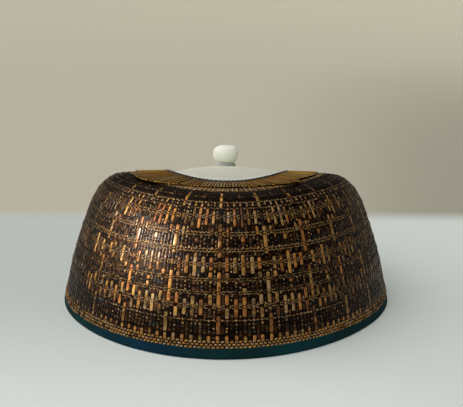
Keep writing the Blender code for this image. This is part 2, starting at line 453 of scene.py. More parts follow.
class Nodes:
    """Short ways to add and join shader nodes in one material."""

    def __init__(self, name):
        self.material = bpy.data.materials.new(name)
        self.material.use_nodes = True
        self.tree = self.material.node_tree
        self.shader = self.tree.nodes["Principled BSDF"]

    def feed(self, socket, value):
        if isinstance(value, bpy.types.NodeSocket):
            self.tree.links.new(value, socket)
        else:
            socket.default_value = value

    def add(self, kind, inputs, **settings):
        """Adds a node with these settings, and feeds its inputs with values or other nodes' outputs."""
        node = self.tree.nodes.new(kind)
        for key, value in settings.items():
            setattr(node, key, value)
        for key, value in inputs.items():
            self.feed(node.inputs[key], value)
        return node.outputs

    def math(self, operation, first, second=0.0, third=0.0):
        return self.add("ShaderNodeMath", {0: first, 1: second, 2: third}, operation=operation)[0]

    def swing(self, value, depth):
        """Swings round zero by this depth as the value goes from 0 to 1."""
        return self.math("MULTIPLY", self.math("SUBTRACT", value, 0.5), depth)

    def arch(self, value):
        """An arch from 0 to 1 and back over each whole step of the value."""
        off = self.math("SUBTRACT", self.math("FRACT", value), 0.5)
        return self.math("MULTIPLY_ADD", self.math("MULTIPLY", off, off), -4.0, 1.0)

    def fade(self, value, start, stop):
        """Rises smoothly from 0 to 1 as the value goes from start to stop."""
        inputs = {"Value": value, "From Min": start, "From Max": stop}
        return self.add("ShaderNodeMapRange", inputs, interpolation_type="SMOOTHSTEP")["Result"]

    def mix(self, factor, first, second, blend="MIX"):
        inputs = {"Factor": factor, "A": first, "B": second}
        return self.add("ShaderNodeMix", inputs, data_type="RGBA", blend_type=blend)["Result"]

    def ramp(self, factor, stops):
        node = self.tree.nodes.new("ShaderNodeValToRGB")
        marks = node.color_ramp.elements
        while len(marks) < len(stops):
            marks.new(0.5)
        for mark, (place, colour) in zip(marks, stops):
            mark.position = place
            mark.color = colour
        self.feed(node.inputs["Fac"], factor)
        return node.outputs["Color"]

    def place(self):
        return self.add("ShaderNodeTexCoord", {})["Object"]

    def chart(self):
        return self.add("ShaderNodeUVMap", {}, uv_map="Chart")["UV"]

    def attribute(self, name):
        return self.add("ShaderNodeAttribute", {}, attribute_name=name)["Fac"]

    def parts(self, vector):
        return self.add("ShaderNodeSeparateXYZ", {0: vector})

    def noise(self, vector, scale, detail=2.0, roughness=0.5):
        inputs = {"Vector": vector, "Scale": scale, "Detail": detail, "Roughness": roughness}
        return self.add("ShaderNodeTexNoise", inputs)["Fac"]

    def grain(self, stretch, scale, detail=2.0, roughness=0.5):
        """Noise on the chart map, stretched along the strands or across them."""
        stretched = self.add("ShaderNodeMapping", {"Vector": self.chart(), "Scale": stretch})["Vector"]
        return self.noise(stretched, scale, detail, roughness)

    def bump(self, height, strength, distance, **below):
        inputs = {"Strength": strength, "Distance": distance, "Height": height, **below}
        return self.add("ShaderNodeBump", inputs)["Normal"]

    def finish(self, colour, roughness, normal, **constants):
        self.feed(self.shader.inputs["Base Color"], colour)
        self.feed(self.shader.inputs["Roughness"], roughness)
        self.feed(self.shader.inputs["Normal"], normal)
        for key, value in constants.items():
            self.shader.inputs[key.replace("_", " ")].default_value = value
        return self.material


def times(colour, factor):
    return (colour[0] * factor, colour[1] * factor, colour[2] * factor, 1.0)


def tint(colour, red, green, blue):
    return (colour[0] * red, colour[1] * green, colour[2] * blue, 1.0)


def greys(*rows):
    """Stops of a ramp, from rows of place and grey."""
    return [(place, (value, value, value, 1.0)) for place, value in rows]


def tints(colour, *rows):
    """Stops of a ramp, from rows of place and factors on the colour's red, green and blue."""
    return [(place, tint(colour, *factors)) for place, *factors in rows]


def straw_finish(name, colour, gloss, upright=True):
    """Polished straw: each strand has its own hue and tone, with fibres along it and worn, darker patches;
    the tone also carries painted shade at the sides of the cap.
    """
    made = Nodes(name)
    fibre_scale = (3.0, 0.16, 1.0) if upright else (0.30, 1.6, 1.0)
    streak_scale, streak_depth, blotch_depth = (1.3, 1.3, 1.15) if upright else (0.5, 0.5, 0.6)
    fibre = made.grain(fibre_scale, 3.0, 3.0, 0.6)
    streak = made.grain((1.0, 0.30, 1.0), streak_scale)
    blotch = made.noise(made.place(), 420.0, 2.0, 0.55)
    dyed = made.ramp(
        made.math("ADD", made.attribute("hue"), made.swing(streak, streak_depth)),
        tints(
            colour,
            (0.02, 0.55, 0.36, 0.35),
            (0.24, 0.85, 0.72, 0.65),
            (0.46, 1.12, 1.15, 1.0),
            (0.62, 0.88, 1.12, 1.2),
            (0.80, 1.05, 1.45, 3.0),
            (1.00, 0.50, 0.70, 1.7),
        ),
    )
    # The tone attribute holds painted shade at the cap's sides as well as each strand's own tone
    worn = made.math("ADD", made.attribute("tone"), made.swing(fibre, 0.7))
    worn = made.math("ADD", worn, made.swing(blotch, blotch_depth))
    shade = made.ramp(worn, greys((0.05, 0.06), (0.30, 0.30), (0.55, 0.86), (0.78, 1.05), (1.00, 1.25)))
    return made.finish(
        made.mix(1.0, dyed, shade, "MULTIPLY"),
        made.math("MULTIPLY_ADD", fibre, 0.12, 0.19),
        made.bump(fibre, 0.35, 0.00012),
        Specular_IOR_Level=gloss,
        Specular_Tint=(1.0, 0.86, 0.74, 1.0),
    )


def ground_finish(name, colour, pitch):
    """Dark dyed grass: ribs at every half straw column, crossed by fine rows, with small pits between.

    The crossings are black brown, with traces of blue green dye and paler grains. The pits are painted near
    black as shade, and towards the crown's shoulder the ground is painted darker as shade.
    """
    made = Nodes(name)
    chart = made.parts(made.chart())
    column = made.math("MULTIPLY_ADD", chart["X"], 2.0, 0.5 - 2.0 * FIRST_COLUMN / PITCH)
    row = made.math("MULTIPLY", chart["Y"], pitch / CELL)
    cell = made.add("ShaderNodeCombineXYZ", {"X": made.math("FLOOR", column), "Y": made.math("FLOOR", row)})
    chance = made.add("ShaderNodeTexWhiteNoise", {"Vector": cell[0]}, noise_dimensions="2D")["Value"]
    height = made.math("MAXIMUM", made.arch(column), made.math("MULTIPLY", made.arch(row), 0.82))
    # Painted shade: where the weave sinks into pits between the ribs, the colour goes near black
    solid = made.ramp(height, greys((0.62, 0.0), (0.84, 1.0)))
    fibre = made.grain((0.4, 3.0, 1.0), 3.0, 3.0, 0.6)
    dye = made.grain((0.55, 0.35, 1.0), 0.9)
    light = made.math("MULTIPLY_ADD", fibre, 0.4, made.math("MULTIPLY", chance, 0.8))
    brown = made.ramp(
        light,
        tints(
            colour,
            (0.25, 0.30, 0.20, 0.10),
            (0.55, 1.0, 0.85, 0.5),
            (0.72, 4.4, 4.4, 4.0),
            (0.86, 8.5, 9.5, 20.0),
            (1.00, 13.0, 18.0, 50.0),
        ),
    )
    blue = made.ramp(
        light,
        [
            (0.30, (0.0006, 0.0014, 0.0016, 1.0)),
            (0.70, (0.0025, 0.0085, 0.0100, 1.0)),
            (1.00, (0.016, 0.046, 0.050, 1.0)),
        ],
    )
    dyed = made.mix(made.ramp(dye, greys((0.57, 0.0), (0.68, 0.85))), brown, blue)
    # Painted shade: the ground darkens towards the crown's shoulder
    shoulder = made.fade(chart["Y"], 58.0 / pitch, 72.0 / pitch)
    dyed = made.mix(made.math("MULTIPLY", shoulder, 0.7), dyed, tint(colour, 0.3, 0.2, 0.1))
    return made.finish(
        made.mix(solid, tint(colour, 0.05, 0.04, 0.03), dyed),
        made.math("MULTIPLY_ADD", solid, -0.56, made.math("MULTIPLY_ADD", fibre, 0.12, 0.75)),
        made.bump(fibre, 0.3, 0.00010, Normal=made.bump(height, 0.8, 0.00022)),
        Specular_IOR_Level=0.080,
        Specular_Tint=(1.0, 0.74, 0.56, 1.0),
    )


def hem_finish(name, colour):
    """Closely woven cotton, unevenly dyed deep green. A band to the left of the front is bluer."""
    made = Nodes(name)
    place = made.place()
    cloud = made.noise(place, 28.0)
    nap = made.noise(place, 900.0, 2.0, 0.6)
    chart = made.parts(made.chart())
    warp = made.math("SINE", made.math("MULTIPLY", chart["X"], 9 * 2 * math.pi))
    weft = made.math("SINE", made.math("MULTIPLY", chart["Y"], 2.4 * 2 * math.pi))
    worn = made.math("MULTIPLY_ADD", nap, 0.35, made.math("MULTIPLY", cloud, 0.75))
    green = made.ramp(
        worn, tints(colour, (0.30, 0.55, 0.55, 0.55), (0.52, 1.0, 1.0, 1.0), (0.78, 1.2, 1.8, 2.2))
    )
    blue = made.ramp(
        worn, tints(colour, (0.30, 0.5, 0.6, 1.0), (0.52, 0.9, 1.0, 1.6), (0.78, 1.0, 1.5, 3.0))
    )
    shift = made.math("MULTIPLY_ADD", cloud, 0.05, 0.018)
    aside = made.math("ABSOLUTE", made.math("ADD", made.parts(place)["X"], shift))
    weave = made.bump(made.math("MULTIPLY", warp, weft), 0.35, 0.00010)
    return made.finish(
        made.mix(made.fade(aside, 0.034, 0.008), green, blue),
        made.math("MULTIPLY_ADD", nap, 0.2, 0.68),
        made.bump(nap, 0.45, 0.00015, Normal=weave),
        Specular_IOR_Level=0.06,
    )


def cotton_finish(name, colour, scale, rim=1.0):
    """Soft white cotton, slightly greyed in its hollows and, on the dome, lit by a painted highlight towards
    its rim.
    """
    made = Nodes(name)
    place = made.place()
    nap = made.noise(place, scale, 3.0, 0.65)
    cloud = made.noise(place, 60.0)
    base = made.ramp(
        made.math("MULTIPLY_ADD", nap, 0.4, made.math("MULTIPLY", cloud, 0.6)),
        [(0.25, times(colour, 0.88)), (0.55, colour), (0.85, times(colour, 1.08))],
    )
    # Painted highlight: on the dome the colour is lifted towards its rim, all round
    if rim > 1.0:
        edge = made.fade(made.parts(made.chart())["Y"], 27.0, 31.5)
        base = made.mix(edge, base, times(colour, rim))
    return made.finish(
        base,
        made.math("MULTIPLY_ADD", nap, 0.15, 0.80),
        made.bump(nap, 0.5, 0.00018),
        Sheen_Weight=0.1,
        Sheen_Roughness=0.6,
        Subsurface_Weight=0.9,
        Subsurface_Scale=0.014,
        Subsurface_Radius=(1.0, 1.0, 0.9),
    )


def dark_thread_finish(name, colour):
    """Dark waxed thread."""
    made = Nodes(name)
    nap = made.noise(made.place(), 1400.0, 2.0, 0.6)
    base = made.ramp(nap, [(0.3, times(colour, 0.5)), (0.7, times(colour, 2.2))])
    rough = made.math("MULTIPLY_ADD", nap, 0.3, 0.45)
    return made.finish(base, rough, made.bump(nap, 0.4, 0.0001), Coat_Weight=0.1)


def finish_piece(name, mesh, material, nodes=()):
    """Links a finished mesh as a piece that rides on the cap."""
    data = bpy.data.meshes.new(name)
    mesh.to_mesh(data)
    mesh.free()
    data.shade_smooth()
    data.materials.append(material)
    piece = bpy.data.objects.new(name, data)
    bpy.context.scene.collection.objects.link(piece)
    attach(piece, "root")
    if nodes:
        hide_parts(*nodes)
    return piece


def turned(profile, steps, place, closed=True):
    """Rolls a grid up round Z along a profile of (radius, height, along) points, and welds its seams.

    The chart map holds the straw column and the distance along the profile.
    """
    rows = profile + profile[:1] if closed else profile
    mesh = bmesh.new()
    bmesh.ops.create_grid(mesh, x_segments=steps, y_segments=len(rows) - 1, size=1.0)
    chart = mesh.loops.layers.uv.new("Chart")
    for face in mesh.faces:
        for corner in face.loops:
            row = round((corner.vert.co.y + 1.0) / 2.0 * (len(rows) - 1))
            corner[chart].uv = (corner.vert.co.x * 180.0 / PITCH, rows[row][2])
    for vert in mesh.verts:
        radius, height, along = rows[round((vert.co.y + 1.0) / 2.0 * (len(rows) - 1))]
        vert.co = place(math.pi * vert.co.x, radius, height, along)
    bmesh.ops.remove_doubles(mesh, verts=mesh.verts, dist=1e-6)
    bmesh.ops.recalc_face_normals(mesh, faces=mesh.faces)
    return mesh


def strand_mesh(rows, sides, rings, upright, scale):
    """The strands of one repeat as blunt-ended grains, in turn, distance and lift."""
    mesh = bmesh.new()
    number = mesh.verts.layers.int.new("number")
    for index, row in enumerate(rows):
        made = bmesh.ops.create_uvsphere(mesh, u_segments=sides, v_segments=rings, radius=1.0)["verts"]
        reach = row.half_length if upright else row.half_turn * scale
        for vert in made:
            level = abs(vert.co.z)
            end = math.sqrt(max(1.0 - level**2, 0.0))
            fuller = end**END_FULLNESS / end if end > 0.001 else 0.0
            blunt = 1.0 - min(BLUNT, reach) / reach * (1.0 - level) if level > 0.01 else 0.0
            across, along, off = vert.co.x * fuller, math.copysign(blunt, vert.co.z), vert.co.y * fuller
            if not upright:
                across, along, off = along, across, -off
            vert.co = (
                row.turn + row.half_turn * across,
                row.distance + row.half_length * along + row.slant * across,
                -row.height * off,
            )
            vert[number] = index
    return mesh


def strands(
    rows, copies, facets, place, seed, stray, hues,
    upright=True, scale=WALL_SCALE, patchy=0.15, painted_shade=SIDE_PAINTED_SHADE,
):
    """Strands with blunt ends, laid on a surface from one repeat of a chart.

    The facets are the sides and rings of a strand, and the scale is in millimetres to a degree.
    Each copy of a strand strays in place, length, lift, tone and hue, by its own amount, and its tone is
    darkened by painted shade round the sides of the cap.
    A tone below zero is a dark crossing, which keeps its tone.
    """
    mesh = strand_mesh(rows, *facets, upright, scale)
    number = mesh.verts.layers.int["number"]
    tone = mesh.verts.layers.float.new("tone")
    hue = mesh.verts.layers.float.new("hue")
    first = mesh.verts[:] + mesh.faces[:]
    for copy in range(1, copies):
        more = bmesh.ops.duplicate(mesh, geom=first)
        fresh = [item for item in more["geom"] if isinstance(item, bmesh.types.BMVert)]
        bmesh.ops.translate(mesh, verts=fresh, vec=(copy * 360.0 / copies, 0.0, 0.0))
    chance = random.Random(seed)
    shifts = {}
    chart = mesh.loops.layers.uv.new("Chart")
    for vert in mesh.verts:
        row = rows[vert[number]]
        copy = round((vert.co.x - row.turn) * copies / 360.0)
        key = (vert[number], copy)
        if key not in shifts:
            shifts[key] = (
                chance.uniform(-1.0, 1.0) * stray,
                chance.uniform(-1.0, 1.0) * stray,
                chance.uniform(*LENGTHS),
                chance.uniform(*LIFTS) * row.height,
                chance.gauss(0.0, patchy),
                chance.uniform(*hues),
            )
        sideways, upward, longer, lift, shade, dye = shifts[key]
        # Painted shade: the tone is lowered at the sides of the cap
        shade -= swells(row.turn + copy * 360.0 / copies, painted_shade)
        crossing = row.tone < 0.0
        vert[tone] = row.tone if crossing else min(max(row.tone + shade, 0.0), 1.0)
        vert[hue] = 0.0 if crossing else dye
        vert.co.y = row.distance + (vert.co.y - row.distance) * (longer if upright else 1.0) + upward
        vert.co.x += sideways / scale
        vert.co.z += lift
    for face in mesh.faces:
        for corner in face.loops:
            corner[chart].uv = (corner.vert.co.x / PITCH, corner.vert.co.y)
    for vert in mesh.verts:
        vert.co = place(vert.co.x, vert.co.y, vert.co.z)
    return mesh


def bar(column, low, high, width, height, tone):
    """One upright strand of the chart, from its lower to its upper end."""
    start, stop = reach_of_row(low), reach_of_row(high)
    middle = (start + stop) / 2
    half_turn = math.degrees(width / 2 / max(face_at(middle)[0].x, NARROW_RADIUS))
    return Strand(FIRST_COLUMN + column * PITCH, middle, half_turn, (stop - start) / 2, height, tone, 0.0)


def bar_rows(weave):
    """The broad straw bars of one repeat: long bars, lozenges between them and their flanks."""
    width, height = weave.bar_width / MM, weave.bar_height / MM
    rows = []
    for column, bars in enumerate(COLUMN_BARS):
        for low, high, tone in bars:
            wide = width * (HIGH_BAR_WIDTH if low > HIGH_BARS_FROM else 1.0)
            rows.append(bar(column, low, high, wide, height, tone))
        low, high, tone = FOOT_BAR
        rows.append(bar(column, low, high, width * 0.9, height * 0.9, tone))
    return rows


def dark_patch(column, level, step):
    """Whether the chart leaves this crossing dark."""
    if level > DARK_ABOVE:
        return column != COLUMNS // 2 or not any(low < level < high for low, high in HIGH_DASHES)
    if level < DARK_BELOW:
        return (step + round(2 * column)) % 3 != 0
    from_bar = abs(min(column % COLUMNS, -column % COLUMNS) - DARK_PATCH_COLUMN)
    return any(abs(level - middle) / half + from_bar / reach < 1.0 for middle, half, reach in DARK_PATCHES)


def under_twined_pair(level):
    """Whether a dash that starts at this height in the chart would lie under a twined pair."""
    return any(abs(level + HALF_DASH - middle) < CLEAR_OF_PAIR for middle in TWINED_PAIRS)


def dashes(table):
    """Number, lower and upper end of each dash in a column of the chart."""
    level, stop, pitch, length = table
    step = 0
    while level < stop:
        yield step, level, level + length
        level += pitch
        step += 1


def tick_rows(weave):
    """Short dashes and dots of one repeat, in the straw columns."""
    width, height = weave.tick_width / MM, weave.bar_height / MM * 0.8
    bars = bar_rows(weave)
    rows = []
    for column in range(COLUMNS):
        rows.append(bar(column, *TOP_DASH, width * 1.25, height, 0.86))
        if column:
            rows.append(bar(column, *SHOULDER_DASH, width * 1.35, height, 0.60))
        for step, low, high in dashes(TICKS):
            row = bar(column, low, high, width * 1.15, height * 0.9, 0.40)
            taken = any(
                abs(row.turn - other.turn) < 0.5 * PITCH
                and abs(row.distance - other.distance) < row.half_length + other.half_length + CLEAR_OF_BAR
                for other in bars
            )
            dark = dark_patch(column, (low + high) / 2, step)
            bare = dark and high > DARK_ABOVE
            if not (taken or bare or under_twined_pair(low)):
                shade = 0.20 if dark else 0.44 + 0.10 * ((step * 3 + column) % 3)
                rows.append(row._replace(tone=shade))
    return rows


def fine_rows(weave):
    """Narrow strands of one repeat, between the straw columns."""
    width, height = weave.tick_width / MM * 0.88, weave.bar_height / MM * 0.80
    rows = []
    for number in range(COLUMNS):
        column = number + 0.5
        rows.append(bar(column, *TOP_FINE_DASH, width * 1.3, height, 0.52))
        for step, low, high in dashes(FINE_TICKS):
            if (step * 5 + number * 3) % 7 in (1, 2, 5, 6) and not under_twined_pair(low):
                dark = dark_patch(column, low + HALF_DASH, step)
                shade = 0.08 if dark else 0.20 + 0.10 * ((step * 2 + number) % 4)
                rows.append(bar(column, low, high, width, height, shade))
    return rows


def twine_rows(weave, low, high):
    """Twined lines that run round the cap, in pairs and single, dark where they cross a straw bar."""
    thick = weave.twine_width / MM
    lines = []
    for middle, tone in TWINED_PAIRS.items():
        lines += [(middle - HALF_PAIR, tone, 1.0), (middle + HALF_PAIR, tone, -1.0)]
    bars = bar_rows(weave)
    rows = []
    for level, tone, lean in lines + SINGLE_LINES:
        distance = reach_of_row(level)
        if not low <= level < high:
            continue
        for step in range(4 * COLUMNS):
            turn = FIRST_COLUMN + (step / 4 + 0.125) * PITCH
            over = any(
                min(abs(turn - row.turn), abs(turn - REPEAT_TURN - row.turn)) < row.half_turn
                and abs(distance - row.distance) < row.half_length
                for row in bars
            )
            if over:
                rows.append(Strand(turn, distance, PITCH * 0.14, thick * 0.98, thick * 0.95, -0.06, 0.0))
                continue
            shade = tone + (0.10 if step % 4 in (1, 2) else -0.08)
            waved = distance + TWINE_WAVE * lean * math.copysign(1.0, step % 2 - 0.5)
            rows.append(Strand(turn, waved, PITCH * 0.125, thick * 0.56, thick * 0.38, shade, lean * 0.10))
    return rows


def edge_rows():
    """Three staggered rows of blunt stitches just over the hem."""
    rows = []
    for number, level in enumerate(STITCH_ROWS):
        for step in range(2 * COLUMNS):
            turn = FIRST_COLUMN + (step / 2 + 0.25 * (number % 2)) * PITCH
            slant = -0.16 if number % 2 else 0.16
            rows.append(Strand(turn, reach_of_row(level), PITCH * 0.205, 0.50, 0.50, 0.66, slant))
    return rows


class CAP_OT_woven_wall(bpy.types.Operator):
    """Makes the dark woven wall and the flat of the crown"""

    bl_idname = "cap.woven_wall"
    bl_label = "Woven wall"

    sides = 576
    inner_steps = 20
    start_height = 4.0
    sunk = 0.12

    def execute(self, context):
        weave, colours = context.scene.cap_weave, context.scene.cap_colours
        pitch = weave.row_pitch / MM
        depth = weave.relief / MM
        start = reach_of_height(self.start_height)
        count = round((REACH[-1] - start) / (pitch / 2))
        outer = []
        for step in range(count + 1):
            distance = start + (REACH[-1] - start) * step / count
            point = face_at(distance)[0]
            outer.append((point.x, point.y, distance / pitch))
        inner = []
        for step in range(self.inner_steps + 1):
            distance = REACH[-1] + (start - REACH[-1]) * step / self.inner_steps
            point, normal = face_at(distance)
            point = point - WALL * normal
            inner.append((point.x, point.y, distance / pitch))

        def place(turn, radius, height, along):
            spot, normal = face_at(along * pitch)
            point = Vector((radius, height))
            if (point - spot).length < WALL / 2:
                crossing = math.cos(math.degrees(turn) / PITCH * 4 * math.pi) * math.cos(math.pi * along)
                point = spot + normal * (depth * 0.5 * crossing - self.sunk)
            return shaped(turn, point.x, point.y, spot.y)

        mesh = turned(outer + inner, self.sides, place)
        material = ground_finish("dark weave", colours.ground, pitch)
        finish_piece("woven_ground", mesh, material, ["woven_shell"])
        return {"FINISHED"}


class CAP_OT_straw_bars(bpy.types.Operator):
    """Lays the broad straw bars and the short dashes of the pattern on the wall"""

    bl_idname = "cap.straw_bars"
    bl_label = "Straw bars"

    def execute(self, context):
        weave, colours = context.scene.cap_weave, context.scene.cap_colours
        polished = straw_finish("polished straw", colours.straw, 0.22)
        dull = straw_finish("dull straw", colours.straw, 0.20)
        stray = weave.unevenness / MM
        for name, rows, facets, seed, uneven, hues, straw in (
            ("straw_bars", bar_rows(weave), (10, 6), 11, 1.0, (0.12, 0.74), polished),
            ("straw_ticks", tick_rows(weave), (5, 3), 12, 0.8, (0.52, 1.0), dull),
            ("fine_ticks", fine_rows(weave), (4, 3), 13, 0.7, (0.62, 1.0), dull),
        ):
            mesh = strands(rows, REPEATS, facets, on_wall, seed, stray * uneven, hues)
            finish_piece(name, mesh, straw)
        return {"FINISHED"}


class CAP_OT_twined_rows(bpy.types.Operator):
    """Lays the twined lines and the rows over the hem"""

    bl_idname = "cap.twined_rows"
    bl_label = "Twined rows"

    def execute(self, context):
        weave, colours = context.scene.cap_weave, context.scene.cap_colours
        material = straw_finish("twined straw", colours.straw, 0.10, upright=False)
        stray = weave.unevenness / MM * 0.35
        for name, low, high, seed in (("twined_low", 0.0, 48.0, 21), ("twined_high", 48.0, 90.0, 23)):
            rows = twine_rows(weave, low, high)
            mesh = strands(rows, REPEATS, (4, 3), on_wall, seed, stray, (0.58, 0.90), upright=False)
            finish_piece(name, mesh, material)
        mesh = strands(edge_rows(), REPEATS, (6, 4), over_hem, 22, stray, (0.40, 0.88), upright=False)
        finish_piece("edge_rows", mesh, material)
        return {"FINISHED"}


class CAP_OT_hem(bpy.types.Operator):
    """Folds the hem cloth round the bottom edge"""

    bl_idname = "cap.hem"
    bl_label = "Hem"

    # Height of a point of the fold, and how far inside the wall's face it lies
    outside = [
        (0.0, 0.6),
        (0.25, 0.1),
        (0.7, -0.25),
        (1.6, -0.25),
        (2.6, -0.25),
        (3.6, -0.25),
        (4.5, -0.25),
        (5.1, -0.25),
        (5.45, 0.05),
        (5.5, 0.7),
    ]
    inside = [
        (1.5, 0.9),
        (1.3, 2.5),
        (6.4, 2.55),
        (6.6, 3.1),
        (6.3, 3.6),
        (3.6, 3.62),
        (1.2, 3.62),
        (0.3, 3.45),
        (0.0, 3.1),
    ]
    upper_edge = 5.3
    outside_reach = 6.2
    dip_height = 5.4
    sides = 480

    def execute(self, context):
        trim, colours = context.scene.cap_trim, context.scene.cap_colours
        pucker = trim.hem_pucker / MM
        profile = []
        travelled = 0.0
        for height, inset in self.outside + self.inside:
            face_height = min(height, self.upper_edge) if len(profile) < len(self.outside) else height
            point = (face_at(reach_of_height(face_height))[0].x - inset, height)
            if profile:
                travelled += math.dist(profile[-1][:2], point)
            profile.append((*point, travelled))

        def place(turn, radius, height, along):
            outside = along < self.outside_reach
            wave = math.cos(turn * 150 + 1.5 * math.sin(turn * 9)) * 0.4
            wave += noise.noise(Vector((math.cos(turn) * 9, math.sin(turn) * 9, along * 0.35)))
            fuller = math.sin(min(max(height / self.upper_edge, 0.0), 1.0) * math.pi)
            push = pucker * wave * fuller * (1.0 if outside else 0.5)
            dip = swells(math.degrees(turn), HEM_DIPS) / self.dip_height if outside else 0.0
            return shaped(turn, radius + push, max(height, 0.0) * (1.0 - dip), 0.0, lean=False)

        mesh = turned(profile, self.sides, place)
        material = hem_finish("dyed hem cotton", colours.hem)
        finish_piece("hem_cloth", mesh, material, ["hem_binding"])
        return {"FINISHED"}


class CAP_OT_ring(bpy.types.Operator):
    """Makes the plaited crown ring, its splints and its dark edging"""

    bl_idname = "cap.ring"
    bl_label = "Crown ring"

    base_shares = [0.99, 0.95, 0.88, 0.78, 0.64, 0.48, 0.32, 0.16, 0.01]
    base_sides = 288
    base_dye = 0.15
    sunk = 0.30
    edging_radius = 0.9
    edging_sunk = 0.75
    edging_sides = 10
    edging_steps = 768
    edging_relief = 0.12

    def make_base(self, straw):
        """The dark underlay of the ring, over the whole of its width."""
        over = [(RING_INNER + share, -self.sunk, 20.0 * share) for share in self.base_shares]
        under = [(RING_INNER + share, -PLAIT_THICK * 0.8, 20.0 * share) for share in self.base_shares]

        def place(turn, radius, height, along):
            return on_ring(math.degrees(turn), radius - RING_INNER, height)

        mesh = turned(over + under[::-1], self.base_sides, place)
        tone = mesh.verts.layers.float.new("tone")
        hue = mesh.verts.layers.float.new("hue")
        for vert in mesh.verts:
            vert[tone] = -0.8
            vert[hue] = self.base_dye
        finish_piece("ring_base", mesh, straw, ["crown_ring"])

    def make_splints(self, straw, count):
        """The straight splints across the ring, and the short stitches that bind its outer edge."""
        step = 180.0 / count

        def splint(turn, share, lift):
            return on_ring(turn, share, lift - self.sunk)

        rows = [Strand(0.0, 0.49, step * 0.36, 0.47, 0.12, 0.98, 0.0)]
        mesh = strands(
            rows, count, (6, 8), splint, 31, 0.012, (0.08, 0.72), scale=1.0, patchy=0.26, painted_shade=()
        )
        finish_piece("ring_splints", mesh, straw)
        rows = [Strand(0.0, 0.965, step * 0.8, 0.026, 0.30, 0.50, 0.012)]
        mesh = strands(
            rows, count, (6, 4), splint, 32, 0.003, (0.40, 0.66), upright=False, scale=1.0, painted_shade=()
        )
        finish_piece("ring_binding", mesh, straw)

    def make_edging(self, thread, plies):
        """The twisted edging inside the ring."""
        thick, relief, part = self.edging_radius, self.edging_relief, 2 * math.pi / self.edging_sides
        centre = RING_INNER - SEAT_GAP - thick
        middle = FACE[-1].y + SEAT_GAP + PLAIT_THICK - self.edging_sunk

        def place(turn, radius, height, along):
            twist = 1.0 + relief * math.cos(2 * part * along + plies * turn)
            out = centre + thick * twist * math.cos(part * along)
            up = middle + thick * twist * math.sin(part * along)
            return shaped(turn, out, up, FACE[-1].y)

        profile = [(centre, 0.0, float(side)) for side in range(self.edging_sides)]
        mesh = turned(profile, self.edging_steps, place)
        finish_piece("rim_edging", mesh, thread, ["rim_cord"])

    def execute(self, context):
        trim, colours = context.scene.cap_trim, context.scene.cap_colours
        straw = straw_finish("ring straw", colours.ring, 0.02)
        self.make_base(straw)
        self.make_splints(straw, trim.splints)
        self.make_edging(dark_thread_finish("dark edging thread", colours.edging), trim.edging_plies)
        return {"FINISHED"}


class CAP_OT_dome(bpy.types.Operator):
    """Makes the white cotton dome, gathered towards the knob"""

    bl_idname = "cap.dome"
    bl_label = "White dome"

    radii = [
        0.0, 2.0, 4.0, 6.0, 8.5, 11.0, 14.0, 17.0, 20.0,
        23.0, 26.0, 28.5, 31.0, 33.0, 34.2, 36.0, 39.5, DOME_EDGE,
    ]
    gathered_within = 33.0
    sides = 192

    def execute(self, context):
        trim, colours = context.scene.cap_trim, context.scene.cap_colours
        depth = trim.gather / MM
        flat = FACE[-1].y - WALL - SEAT_GAP
        heights = [dome_height(radius) if radius < DOME_SPAN else flat for radius in self.radii]
        over = list(zip(self.radii, heights, self.radii))
        under = [(radius, height - DOME_CLOTH, along + 1.0) for radius, height, along in over]

        def place(turn, radius, height, along):
            reach = math.sin(min(radius / self.gathered_within, 1.0) * math.pi)
            fold = math.cos(turn * 17 + 2.0 * math.sin(turn * 2 + 0.6)) * 0.5
            fold += math.cos(turn * 29 + 1.3 * math.sin(turn * 3)) * 0.25
            fold += noise.noise(Vector((math.cos(turn) * 2.2, math.sin(turn) * 2.2, radius * 0.08)))
            return shaped(turn, radius, height + depth * reach * fold, FACE[-1].y)

        mesh = turned(over + under[::-1], self.sides, place, closed=False)
        # The dome's colour is greyed with painted shade, and its rim gets a painted highlight
        cotton = cotton_finish("white cotton", colours.dome, 1100.0, rim=1.8)
        finish_piece("white_dome", mesh, cotton, ["crown_dome"])
        return {"FINISHED"}


def at_knob(across, back, height):
    """A place by the knob's own axis, in metres."""
    return Vector(((across + KNOB_X) * MM, (back + SHIFT) * MM, height * MM))


